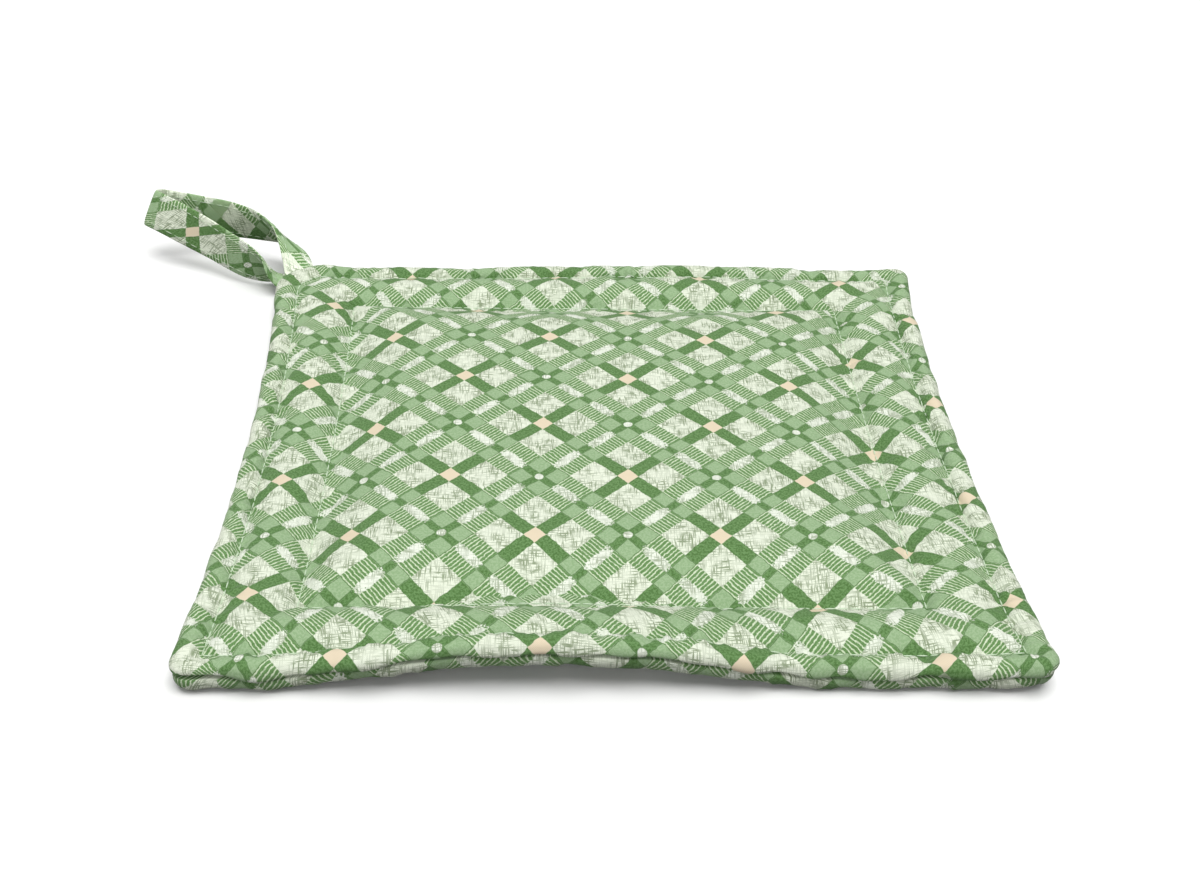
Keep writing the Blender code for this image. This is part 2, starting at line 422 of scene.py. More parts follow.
# %% [markdown]
# ## Where the print lies
# The print was on the cloth before the pad was sewn, so it is laid out by lengths along the cloth
# and not along the table: it narrows into each valley and rolls over the edge as a real one does.
# Sewing moves it too. The presser foot pushes the top layer along a border, and the layers slip a
# little on each other, so the print is eased to one side in a few places.

# %% The cloth's own coordinates
CORNER_EASE = 0.022             # how far past its corner a stitch line still gathers the cloth
PRINT_GIVE = 0.85               # share of the spare cloth that shows in the print, not as stretch
FRONT_DRIFT = (-0.0034, 0.0015)     # how far the presser foot pushed the front border
Push = namedtuple("Push", "middle reach move")
PUSHES = (
    Push((0.1016, -0.0900), 0.080, (0.0, 0.0074)),
    Push((0.1016, -0.0700), 0.050, (0.0050, 0.0)),
    Push((-0.0300, -0.0500), 0.070, (0.0, -0.0018)),
)


def spare_cloth(rows):
    """How much longer the cloth is than the table under it, from the middle out to each line."""
    steps = np.linalg.norm(np.diff(rows, axis=0), axis=1)
    from_middle = np.append(steps[::-1].cumsum()[::-1], 0.0)
    return from_middle - (HALF - rows[:, 0])


def cloth_place(x, y, insets, line_inset, spare):
    """The place on the flat cloth of a point of the cover, with what sewing did to it."""
    eased = [
        PRINT_GIVE * spare * smooth(1 - (inset - line_inset) / CORNER_EASE) for inset in insets
    ]
    border = smooth((-y - (HALF - QUILTED_SQUARE)) / (QUILTED_SQUARE - EDGE_STITCH))
    at = Vector((x + math.copysign(eased[0], x), y + math.copysign(eased[1], y), 0.0))
    at += Vector((*FRONT_DRIFT, 0.0)) * border
    for push in PUSHES:
        away = math.dist((x, y), push.middle) / push.reach
        at -= Vector((*push.move, 0.0)) * smooth(1 - away)
    return at


for face_name, rows in (("front", front_section), ("back", back_section)):
    across = 2 * (HALF - rows[0, 0] + spare_cloth(rows)[0])
    print(face_name, "cloth:", round(across / MM), "mm from seam to seam")

# %% [markdown]
# ## The cover as a grid
# The cover is one square of cloth, so it starts as a grid, and each line of the grid is sent to
# its place in the section. Three notes stay with every point for later steps: its place on the
# flat cloth, the number of its line, and how far along the cloth that line is from the middle.

# %% Grid of one cover
WAVE_FADE = 0.008               # the seam's wander has died out this far in


def cover_grid(rows, face):
    """A mesh of one cover in place: face is 1 for the front and -1 for the back."""
    last = len(rows) - 1
    roll = len(FRONT_ROLL)
    even = rows[:, 0].copy()
    even[:roll] = np.linspace(0.0, rows[roll - 1, 0], roll)
    spare = spare_cloth(rows)
    mesh = bmesh.new()
    bmesh.ops.create_grid(mesh, x_segments=2 * last, y_segments=2 * last, size=last)
    flat = mesh.verts.layers.float_vector.new("flat")
    ring = mesh.verts.layers.int.new("ring")
    reach = mesh.verts.layers.float.new("reach")
    for vert in mesh.verts:
        steps = [round(vert.co.x), round(vert.co.y)]
        line = last - max(abs(steps[0]), abs(steps[1]))
        inset, height = rows[line]
        insets = [even[last - abs(k)] for k in steps]
        share = (HALF - inset) / max(HALF - even[line], 1e-9)
        x, y = outline_point(*(math.copysign((HALF - i) * share, k) for i, k in zip(insets, steps)))
        pocket = pocket_at(x, y)
        gap = (POCKET_HALF_GAP - SEAM_GAP / 2) * pocket
        away = SEAM_GAP / 2 + gap + height * (1 - POCKET_PINCH * pocket)
        wave = seam_wave(x, y) * smooth(1 - even[line] / WAVE_FADE)
        z = SEAM_HEIGHT + lift_at(x, y) + wave + face * away
        vert.co = (x, y, z if face > 0 else max(z, lift_at(x, y)))
        vert[flat] = cloth_place(x, y, insets, even[line], spare[line])
        vert[reach] = HALF - inset + spare[line]
        vert[ring] = line
    if face < 0:
        bmesh.ops.reverse_faces(mesh, faces=mesh.faces[:])
    return mesh


front_mesh = cover_grid(front_section, face=1)
back_mesh = cover_grid(back_section, face=-1)
print("front cover:", len(front_mesh.faces), "faces; back cover:", len(back_mesh.faces))

# %% [markdown]
# ## Puffing the covers up
# The wadding pushes and the stitches hold: that is what makes a quilt look soft. Blender's Cloth
# does the same. The seam and the two stitch lines are pinned, pressure pushes the cloth out, and
# near the lines the cloth is a little longer than the thread that gathers it, so small puckers
# form there. The cloth is simulated at ten times its size, where the solver is steady, and no
# point may move far, because the wadding is only so thick.

# %% Cloth settings
SIM_SCALE, SIM_FRAMES = 10.0, 20
PRESSURE = 4.0
STIFFNESS, SHEAR, BENDING = 12, 4, 0.35
GATHER, GATHER_REACH = 0.03, 0.012      # share of spare cloth at a stitch line, and how far it goes


def weights(obj, name, values):
    """A vertex group with one weight for each point."""
    group = obj.vertex_groups.new(name=name)
    for index, value in enumerate(values):
        group.add([index], float(value), "REPLACE")
    return group.name


def as_quilt(cloth, held, near):
    """Makes an object cloth: held tells the sewn points, near how far each is from a stitch line."""
    modifier = cloth.modifiers.new("Cloth", "CLOTH")
    settings = modifier.settings
    settings.vertex_group_mass = weights(cloth, "sewn", np.where(held, 1.0, 0.0))
    settings.vertex_group_shrink = weights(cloth, "spare", np.clip(1 - near / GATHER_REACH, 0, 1))
    settings.shrink_min, settings.shrink_max = 0.0, -GATHER
    settings.quality = 6
    settings.mass = 0.02
    settings.tension_stiffness = settings.compression_stiffness = STIFFNESS
    settings.shear_stiffness = SHEAR
    settings.bending_stiffness = BENDING
    settings.air_damping = 3
    settings.use_pressure = True
    settings.uniform_pressure_force = PRESSURE
    settings.effector_weights.gravity = 0
    modifier.collision_settings.use_collision = False
    modifier.point_cache.frame_start, modifier.point_cache.frame_end = 1, SIM_FRAMES


print("puffing takes", SIM_FRAMES, "frames a cover")

# %% [markdown]
# ## Running the simulation
# The frames are stepped one by one, because a simulation only counts on from the frame before.
# Then the moved points are read back, scaled down again, and each move is cut to the most that the
# wadding allows.

# %% Simulation
MOST_MOVE = 0.0016


def puffed(name, mesh, rows):
    """Moves the points of a cover to where pressure and stitches bring them."""
    lines = np.array([vert[mesh.verts.layers.int["ring"]] for vert in mesh.verts])
    insets = rows[lines, 0]
    held = np.isclose(insets, EDGE_STITCH) | np.isclose(insets, QUILTED_SQUARE) | (lines <= 1)
    near = np.minimum(np.abs(insets - EDGE_STITCH), np.abs(insets - QUILTED_SQUARE))
    start = np.array([vert.co for vert in mesh.verts])
    data = bpy.data.meshes.new(name)
    mesh.to_mesh(data)
    data.transform(Matrix.Scale(SIM_SCALE, 4))
    cloth = bpy.data.objects.new(name, data)
    scene.collection.objects.link(cloth)
    as_quilt(cloth, held, near)
    for step in range(1, SIM_FRAMES + 1):
        scene.frame_set(step)
    result = cloth.evaluated_get(bpy.context.evaluated_depsgraph_get())
    moves = np.array([v.co for v in result.data.vertices]) / SIM_SCALE - start
    bpy.data.objects.remove(cloth)
    scene.frame_set(1)
    sizes = np.linalg.norm(moves, axis=1, keepdims=True)
    moves *= np.minimum(1.0, MOST_MOVE / np.maximum(sizes, 1e-9))
    for vert, move in zip(mesh.verts, moves):
        vert.co += Vector(move)
    print(
        name, "moved up to", round(sizes.max() / MM, 2), "mm before the cap, mean",
        round(sizes.mean() / MM, 2),
    )


puffed("front_cloth", front_mesh, front_section)
puffed("back_cloth", back_mesh, back_section)

# %% [markdown]
# ## Finer cloth
# One subdivision rounds the grid off, and gives the small folds of the next step enough points.
# The modifier's result is read back at once, so that those folds can be made on it. The flat cloth
# coordinates become a UV map, which is what a material can read.

# %% From grid to finer cloth
def set_down(name, data, material=None):
    """A mesh as an object in the scene."""
    if material:
        data.materials.append(material)
    data.shade_smooth()
    obj = bpy.data.objects.new(name, data)
    scene.collection.objects.link(obj)
    return obj


def mesh_of(name, mesh):
    """A finished bmesh as mesh data."""
    data = bpy.data.meshes.new(name)
    mesh.to_mesh(data)
    mesh.free()
    return data


def mapped(mesh):
    """Keeps the flat cloth coordinates as the UV map that the print reads."""
    flat = mesh.verts.layers.float_vector["flat"]
    cloth = mesh.loops.layers.uv.new("cloth")
    for face in mesh.faces:
        for loop in face.loops:
            loop[cloth].uv = loop.vert[flat].xy
    mesh.verts.layers.float_vector.remove(flat)


def subdivided(mesh):
    """The same cloth with each face split into four and rounded off."""
    obj = set_down("open_cover", mesh_of("open_cover", mesh))
    modifier = obj.modifiers.new("Soft", "SUBSURF")
    modifier.levels = modifier.render_levels = 1
    finer = bmesh.new()
    finer.from_object(obj, bpy.context.evaluated_depsgraph_get())
    bpy.data.objects.remove(obj)
    return finer


mapped(front_mesh)
mapped(back_mesh)
front_mesh, back_mesh = subdivided(front_mesh), subdivided(back_mesh)
print("finer cloth:", len(front_mesh.faces), "faces in front,", len(back_mesh.faces), "behind")

# %% [markdown]
# ## Puckers, lumps and tucks
# Three small unevennesses make a quilt look sewn by hand. Puckers are short folds that run out
# from a stitch line, where the thread gathers the cloth. Lumps are the wadding itself. Tucks are
# the wider folds of the rolled edge, deepest along the front, where the arch bends it. Each could
# be sculpted; here each is noise that is stretched along its line and pushes the cloth out along
# its normal.

# %% Small folds
PUCKER, PUCKER_AT, PUCKER_LONG = 0.001248, 0.0016, 0.0021   # height, distance out, spacing
LUMP, LUMP_LONG = 0.00045, 0.011
TUCK, FRONT_TUCK, TUCK_LONG, TUCK_WIDE = 0.00035, 0.0011, 0.0075, 0.02
TUCK_START, TUCK_PAST, TUCK_END = 0.003, 0.012, 0.006   # where along the roll the tucks begin, end
PUCKER_RUN = 6                  # how much slower a pucker changes on its way out than along its line
QUIET_MIDDLE = HALF / 4         # the very middle of the pad stays smooth
LOWEST_FOLD = 0.9               # share of its lift that a fold on the underside may come down to


def pucker_at(along, reach, lines, seed):
    """The height of the puckers beside the stitch lines."""
    height = 0.0
    for number, line in enumerate(lines):
        away = abs(reach - line) / PUCKER_AT
        place = Vector((along / PUCKER_LONG, away / PUCKER_RUN, seed + 5 * number))
        height += PUCKER * noise.noise(place) * away * math.exp(1 - away)
    return height


def tuck_at(along, reach, edge_line, depth, seed):
    """The height of the tucks, which lie on the roll outside the edge stitching."""
    start, end = (reach - edge_line) / TUCK_START, (HALF + TUCK_PAST - reach) / TUCK_END
    tuck = noise.noise(Vector((along / TUCK_LONG, reach / TUCK_WIDE, seed)))
    return depth * tuck * (smooth(start) * smooth(end))


def puckered(mesh, rows, face, seed):
    """Adds the small folds to a cover."""
    spare, roll_end = spare_cloth(rows), len(FRONT_ROLL) - 1
    lines = [
        HALF - inset + np.interp(inset, rows[roll_end:, 0], spare[roll_end:])
        for inset in (EDGE_STITCH, QUILTED_SQUARE)
    ]
    reach_layer = mesh.verts.layers.float["reach"]
    mesh.normal_update()
    moves = []
    for vert in mesh.verts:
        x, y, reach = vert.co.x, vert.co.y, vert[reach_layer]
        along = x if abs(y) > abs(x) else y
        depth = FRONT_TUCK if face > 0 and y < 0 and abs(y) > abs(x) else TUCK
        lump = LUMP * noise.noise(Vector((x / LUMP_LONG, y / LUMP_LONG, seed)))
        fine = (lump + pucker_at(along, reach, lines, seed)) * smooth(reach / QUIET_MIDDLE)
        moves.append(vert.normal * (fine + tuck_at(along, reach, lines[0], depth, seed + 9)))
    for vert, move in zip(mesh.verts, moves):
        vert.co += move
        if face < 0:
            vert.co.z = max(vert.co.z, lift_at(vert.co.x, vert.co.y) * LOWEST_FOLD)
    return max(move.length for move in moves)


front_fold = puckered(front_mesh, front_section, 1, seed=11)
back_fold = puckered(back_mesh, back_section, -1, seed=23)
print("largest folds:", [round(fold / MM, 2) for fold in (front_fold, back_fold)], "mm")

# %% [markdown]
# ## The turned-in edge
# A maker presses the raw edge in before sewing, so nothing shows between the two rolls but the fold
# of each cover. The cover's border is extruded inwards twice along the seam plane and closed with a
# flat lining, so that it is a body with an inside and not an open skin.

# %% Close a cover
TURNED_IN = (0.003, 0.012)


def closed_cover(mesh, face):
    """Turns the cover's edge in along the seam plane and closes it with a flat lining."""
    border = [edge for edge in mesh.edges if edge.is_boundary]
    for inset in TURNED_IN:
        made = bmesh.ops.extrude_edge_only(mesh, edges=border)["geom"]
        border = [g for g in made if isinstance(g, bmesh.types.BMEdge) and g.is_boundary]
        for vert in {v for edge in border for v in edge.verts}:
            x, y = vert.co.x * (1 - inset / HALF), vert.co.y * (1 - inset / HALF)
            gap = SEAM_GAP / 2 + (POCKET_HALF_GAP - SEAM_GAP / 2) * pocket_at(x, y)
            vert.co = (x, y, SEAM_HEIGHT + lift_at(x, y) + face * gap)
    lining = bmesh.ops.contextual_create(mesh, geom=border)["faces"]
    bmesh.ops.poke(mesh, faces=lining)
    bmesh.ops.recalc_face_normals(mesh, faces=mesh.faces[:])


closed_cover(front_mesh, 1)
closed_cover(back_mesh, -1)
open_edges = sum(edge.is_boundary for mesh in (front_mesh, back_mesh) for edge in mesh.edges)
print("edges left open:", open_edges)

# %% [markdown]
# ## The plaid
# The print is an ordinary bias plaid: two sets of stripes cross at the diagonal. Each set repeats
# one sett from edge to edge of the repeat: half of a dark stripe, a wide field of linen, a light
# stripe, and a thin dark stripe in the middle. Where two stripes cross, the pair decides the
# colour: dark on dark leaves a small cream square, linen on linen a pale diamond with slubs, light
# on linen a hatching of fine lines. The sett is folded about its middle, so three edges chart it.

# %% Chart of the plaid
REPEAT_P = (24.58, 23.88)       # mm along the cloth from one cream square to the next, both ways
REPEAT_Q = (22.33, -25.54)
CREAM_AT = (3.2, -79.3)         # where one cream square lies on the front
SETT = (0.060, 0.325, 0.472)    # shares of the repeat where dark, linen and light end
REPEAT_LONG = math.hypot(*REPEAT_P)
CREAM, WHITE = srgb(239, 223, 194), srgb(247, 253, 238)
DARK, MID, LIGHT = srgb(86, 125, 66), srgb(116, 156, 97), srgb(167, 195, 152)
LINEN, SLUB, HATCH = srgb(243, 250, 230), srgb(152, 167, 135), srgb(220, 235, 202)


def repeats_of(along, across):
    """Factors that turn millimetres of cloth into repeats of the two sets of stripes."""
    size = along[0] * across[1] - along[1] * across[0]
    return (across[1] / size, -across[0] / size), (-along[1] / size, along[0] / size)


print("repeats of", round(REPEAT_LONG, 1), "and", round(math.hypot(*REPEAT_Q), 1), "mm")

# %% [markdown]
# ## Stripes
# A stripe is a mask: 1 inside it, 0 outside. The place across the stripes is counted in repeats,
# and its fraction is folded about the middle of the sett, so each edge of the chart is used twice.
# Cloth shifts a little under the printer's screens, so the place is first bent by a slow noise.
# Where the masks of two stripes are multiplied, the product marks their crossing.

# %% Stripes and their crossings
PRINT_EDGE = 0.006              # softness of a printed edge, in repeats
BEND, BENDS_PER_MM = 0.7, 0.55
Stripes = namedtuple("Stripes", "place folded dark linen light thin")


def numbers_of(tree, vector):
    """The three numbers of a vector."""
    split = tree.nodes.new("ShaderNodeSeparateXYZ")
    tree.links.new(vector, split.inputs[0])
    return split.outputs


def mottle(tree, place, scale, detail, roughness):
    """Noise between 0 and 1, about scale blotches to the millimetre."""
    return node(tree, "ShaderNodeTexNoise", place, None, scale, detail, roughness)


def bent_place(tree, cloth):
    """The place on the cloth in millimetres, as the print was laid on it: a little out of true."""
    wander = mottle(tree, cloth, BENDS_PER_MM, 2.0, 0.5).node.outputs["Color"]
    bend = node(
        tree, "ShaderNodeVectorMath", wander, (BEND, BEND, 0.0), (0.0, 0.0, 0.0),
        operation="MULTIPLY_ADD",
    )
    return numbers_of(tree, node(tree, "ShaderNodeVectorMath", cloth, bend, operation="ADD"))


def stripes(tree, x, y, factors):
    """One set of stripes: the place in repeats, folded, and a mask for each stripe of the sett."""
    # noise is one half on average, and so the bend moves the print by half its size
    offset = -sum((at + BEND / 2) * factor for at, factor in zip(CREAM_AT, factors))
    across = maths(tree, "MULTIPLY_ADD", y, factors[1], offset)
    place = maths(tree, "MULTIPLY_ADD", x, factors[0], across)
    share = maths(tree, "FRACT", maths(tree, "ADD", place, 0.5))
    folded = maths(tree, "ABSOLUTE", maths(tree, "SUBTRACT", share, 0.5))
    past = [ramp(tree, folded, edge - PRINT_EDGE / 2, edge + PRINT_EDGE / 2) for edge in SETT]
    dark = maths(tree, "SUBTRACT", 1.0, past[0])
    linen = maths(tree, "SUBTRACT", past[0], past[1])
    light = maths(tree, "SUBTRACT", past[1], past[2])
    return Stripes(place, folded, dark, linen, light, past[2])


def crossing(tree, *pairs):
    """1 where any of the pairs of stripes cross."""
    total = None
    for first, second in pairs:
        product = maths(tree, "MULTIPLY", first, second)
        total = product if total is None else maths(tree, "ADD", total, product)
    return total


print("stripes end", [round(REPEAT_LONG * edge, 1) for edge in SETT], "mm from the cream square")

# %% [markdown]
# ## Slubs and hatching
# The pale diamonds imitate linen: short slubs, thicker bits of thread, run both ways and fade out
# in patches. They are noise that is drawn out along one direction. The hatching is a run of fine
# pale lines across a light stripe. It is a wave that is cut off at a height, and one noise both
# bends it and rubs parts of it away, like a dry brush.

# %% Slubs and hatching
SLUB_LONG, SLUB_WIDE_X, SLUB_WIDE_Y = 3.4, 0.27, 0.31   # mm
SLUB_CUT = (0.50, 0.60)         # noise past this is a slub
PATCHES_PER_MM, PATCH_CUT, PALE_PATCH = 0.22, (0.40, 0.66), 0.30
HATCH_LINES = 34.0              # lines to a repeat
HATCH_BEND, HATCH_CUT = 0.6, (0.28, 0.40)
WORN_CUT, WORN_LINE = (0.32, 0.52), 0.40        # noise below this wears a line down to that share


def streaks(tree, place, along, across, seed):
    """Noise drawn out into threads: 1 on a thread and 0 between."""
    stretch = (1 / along, 1 / across, 1.0)
    stretched = node(tree, "ShaderNodeVectorMath", place, stretch, operation="MULTIPLY")
    seeds = (seed, seed * 1.7, seed)
    shifted = node(tree, "ShaderNodeVectorMath", stretched, seeds, operation="ADD")
    return ramp(tree, mottle(tree, shifted, 1.0, 1.0, 0.5), *SLUB_CUT)


def slubs(tree, cloth):
    """1 on a slub, of threads both ways, and less in the paler patches."""
    lengthwise = streaks(tree, cloth, SLUB_LONG, SLUB_WIDE_Y, 3.1)
    crosswise = streaks(tree, cloth, SLUB_WIDE_X, SLUB_LONG, 7.7)
    patches = ramp(tree, mottle(tree, cloth, PATCHES_PER_MM, 1.0, 0.5), *PATCH_CUT, 1.0, PALE_PATCH)
    return maths(tree, "MULTIPLY", maths(tree, "MAXIMUM", lengthwise, crosswise), patches)


def hatching(tree, place, broken, ink):
    """The ink of a light stripe with fine pale lines across it, broken here and there."""
    bent = maths(tree, "MULTIPLY", broken, HATCH_BEND)
    wave = maths(tree, "MULTIPLY_ADD", place, HATCH_LINES, bent)
    line = ramp(tree, maths(tree, "PINGPONG", wave, 0.5), *HATCH_CUT)
    worn = ramp(tree, broken, *WORN_CUT, WORN_LINE, 1.0)
    return painted(tree, ink, HATCH, maths(tree, "MULTIPLY", line, worn))


print("hatching: one line every", round(REPEAT_LONG / HATCH_LINES, 1), "mm")

# %% [markdown]
# ## One colour for each crossing
# Now the print is built up as a printer would, one screen after another: the linen ground, the
# green bars, the light squares with their drawn outline, the two hatchings, and the cream squares.
# Each screen is a colour and the mask of where it prints.

# %% The screens of the print
RIM = 0.006                     # half width of the drawn line round a light square, in repeats
SPECK_CUT = (0.42, 0.58)
DARK_SPECKS, MID_SPECKS, LIGHT_SPECKS = 0.9, 0.5, 0.36      # how strongly each green is speckled


def rim(tree, folded):
    """1 on the thin line that the printer leaves along each edge of a stripe."""
    total = None
    for edge in SETT:
        away = maths(tree, "ABSOLUTE", maths(tree, "SUBTRACT", folded, edge))
        line = ramp(tree, away, RIM * 0.6, RIM * 1.4, 1.0, 0.0)
        total = line if total is None else maths(tree, "MAXIMUM", total, line)
    return total


def screens(tree, p, q, broken, speckle):
    """Each colour of the plaid with its mask, in the order of printing."""
    speck = ramp(tree, speckle, *SPECK_CUT)
    dark = painted(tree, DARK, MID, maths(tree, "MULTIPLY", speck, DARK_SPECKS))
    light = painted(tree, LIGHT, MID, maths(tree, "MULTIPLY", speck, LIGHT_SPECKS))
    ink = painted(tree, MID, DARK, maths(tree, "MULTIPLY", speck, MID_SPECKS))
    thick_p, thick_q = (maths(tree, "ADD", lines.light, lines.thin) for lines in (p, q))
    bars = (p.dark, q.linen), (p.linen, q.dark), (p.dark, q.thin), (p.thin, q.dark)
    square = crossing(tree, (p.light, q.light), (p.dark, q.light), (p.light, q.dark))
    outline = maths(tree, "MAXIMUM", rim(tree, p.folded), rim(tree, q.folded))
    return (
        (dark, crossing(tree, *bars, (thick_p, thick_q))),
        (light, square),
        (DARK, maths(tree, "MULTIPLY", outline, square)),
        (hatching(tree, q.place, broken, ink), crossing(tree, (thick_p, q.linen))),
        (hatching(tree, p.place, broken, ink), crossing(tree, (p.linen, thick_q))),
        (CREAM, crossing(tree, (p.dark, q.dark))),
    )


print("rim:", round(2 * REPEAT_LONG * RIM, 1), "mm wide")

# %% [markdown]
# ## Bars and spots
# A white bar lies in the middle of each hatching, and a small white spot where two thin stripes
# cross. They were painted by brush. Raising the distances to the fourth power and adding them up
# gives a bar with round corners, and a little noise on that sum makes its edge look brushed.

# %% Brushed marks
OVAL = 0.037                    # radius of the small white spot, in repeats
BAR = (0.046, 0.138)            # half width and half length of the white bar, in repeats
BAR_CUT, SPOT_CUT = (0.55, 1.05), (0.75, 1.2)   # where the brush thins out, as shares of a mark
BRUSH_ROUGH, BRUSH_SHIFT = 3.6, -1.7            # how far the speckle moves a bar's edge


def brushed_bar(tree, across, along, speckle):
    """1 on a bar, given the distances across and along it."""
    shape = maths(
        tree, "ADD",
        maths(tree, "POWER", maths(tree, "MULTIPLY", across, 1 / BAR[0]), 4.0),
        maths(tree, "POWER", maths(tree, "ABSOLUTE", maths(tree, "MULTIPLY", along, 1 / BAR[1])), 4.0),
    )
    rough = maths(tree, "MULTIPLY_ADD", speckle, BRUSH_ROUGH, BRUSH_SHIFT)
    return ramp(tree, maths(tree, "ADD", shape, rough), *BAR_CUT, 1.0, 0.0)


def spot(tree, middle_p, middle_q):
    """1 on the spot, given the distances from the middles of two thin stripes."""
    away = maths(tree, "ADD", *(maths(tree, "POWER", m, 2.0) for m in (middle_p, middle_q)))
    return ramp(tree, maths(tree, "MULTIPLY", away, OVAL ** -2), *SPOT_CUT, 1.0, 0.0)


def brushed_marks(tree, p, q, speckle):
    """The masks of all the white marks."""
    middle_p, middle_q = (maths(tree, "SUBTRACT", 0.5, lines.folded) for lines in (p, q))
    along_p, along_q = (
        maths(tree, "SUBTRACT", lines.folded, (SETT[0] + SETT[1]) / 2) for lines in (p, q)
    )
    return (
        brushed_bar(tree, middle_p, along_q, speckle),
        brushed_bar(tree, middle_q, along_p, speckle),
        spot(tree, middle_p, middle_q),
    )


print("bars:", [round(2 * REPEAT_LONG * side, 1) for side in BAR], "mm")

# %% [markdown]
# ## The printed cotton
# Under the print is a plain weave, about 20 threads to the centimetre, finer than most views show.
# It shades the colour a little and gives the surface a slight bump, together with slower slubs.
# Cotton is matt: high roughness, little shine, and a trace of sheen from its fuzz.

# %% Printed cotton
WEAVE = 0.46                    # mm from thread to thread
WEAVE_SHADE, CLOTH_SHADE = 0.09, 0.775
BREAKS_PER_MM, SPECKS_PER_MM = 1.3, 1.7
MARK_SLUBS = 0.8                # how strongly the slubs show through the white marks
BUMP_STRENGTH, BUMP_DEPTH = 0.35, 0.00012
BUMP_SLUBS_PER_MM, BUMP_SLUBS = 0.5, 0.6
COTTON = {
    "Roughness": 0.88, "Sheen Weight": 0.12, "Sheen Roughness": 0.5, "Specular IOR Level": 0.25,
}


def weave_at(tree, cloth):
    """The weave: 1 where threads cross on top, 0 in between."""
    ways = [
        maths(tree, "SINE", maths(tree, "MULTIPLY", place, 2 * math.pi / WEAVE))
        for place in numbers_of(tree, cloth)[:2]
    ]
    return maths(tree, "MULTIPLY_ADD", maths(tree, "MULTIPLY", *ways), 0.5, 0.5)


def plaid(tree, cloth):
    """The colour of the print at a place on the cloth."""
    x, y, _ = bent_place(tree, cloth)
    p, q = (stripes(tree, x, y, factors) for factors in repeats_of(REPEAT_P, REPEAT_Q))
    threads = slubs(tree, cloth)
    broken = mottle(tree, cloth, BREAKS_PER_MM, 2.0, 0.6)
    speckle = mottle(tree, cloth, SPECKS_PER_MM, 2.0, 0.6)
    colour = painted(tree, LINEN, SLUB, threads)
    for ink, mask in screens(tree, p, q, broken, speckle):
        colour = painted(tree, colour, ink, mask)
    white = painted(tree, WHITE, SLUB, maths(tree, "MULTIPLY", threads, MARK_SLUBS))
    for mask in brushed_marks(tree, p, q, speckle):
        colour = painted(tree, colour, white, mask)
    return colour


def printed_cotton(name, shift, painted_light=1.0):
    """Cotton with the plaid, shifted on its piece as the cutter laid it, and lighter by painted light
    where a piece gets too little.
    """
    material, tree, shader = new_material(name)
    uv = node(tree, "ShaderNodeUVMap", uv_map="cloth")
    in_mm = (1 / MM, 1 / MM, 1 / MM)
    cloth = node(
        tree, "ShaderNodeMapping", uv, (*shift, 0.0), (0.0, 0.0, 0.0), in_mm, vector_type="POINT"
    )
    weave = weave_at(tree, cloth)
    # the last factor paints light into the print: above 1 it lightens a piece that the lamps light too
    # little
    shade = maths(tree, "MULTIPLY_ADD", weave, WEAVE_SHADE, CLOTH_SHADE * painted_light)
    colour = node(
        tree, "ShaderNodeVectorMath", plaid(tree, cloth), shade, operation="MULTIPLY"
    )
    tree.links.new(colour, shader.inputs["Base Color"])
    bump = tree.nodes.new("ShaderNodeBump")
    bump.inputs["Strength"].default_value = BUMP_STRENGTH
    bump.inputs["Distance"].default_value = BUMP_DEPTH
    thick = mottle(tree, cloth, BUMP_SLUBS_PER_MM, 3.0, 0.6)
    height = maths(tree, "MULTIPLY_ADD", thick, BUMP_SLUBS, weave)
    tree.links.new(height, bump.inputs["Height"])
    tree.links.new(bump.outputs[0], shader.inputs["Normal"])
    for setting, value in COTTON.items():
        shader.inputs[setting].default_value = value
    return material


front_print = printed_cotton("front_print", (0.0, 0.0))
back_print = printed_cotton("back_print", (9.0, 14.0))
print("materials:", front_print.name, back_print.name, "of", len(front_print.node_tree.nodes), "nodes")

# %% [markdown]
# ## The two covers
# Each cover takes the place of its CAD panel and rides on the one body that the pad has. Both are
# one piece each, because a maker cuts each from one square.

# %% Covers as pieces
def padded_cover(name, mesh, material, panel):
    """A cover in the scene, in place of its CAD panel."""
    cover = set_down(name, mesh_of(name, mesh), material)
    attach(cover, "root")
    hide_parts(panel)
    return cover


front_cover = padded_cover("front_cover", front_mesh, front_print, "front_panel")
back_cover = padded_cover("back_cover", back_mesh, back_print, "back_panel")
print("covers:", front_cover.name, back_cover.name)

# %% [markdown]
# ## The line of the hanging loop
# The loop is a strip of the print, its raw edges folded in, stitched near both edges, folded in
# half and creased, and both ends caught in the corner seam. It stands on its edge. The line of
# the strip could be a Bezier curve, but a curve's twist is hard to steer. So the strip follows
# measured sections instead: the place of its middle, how far and towards what bearing its upper
# edge leans, and its width.

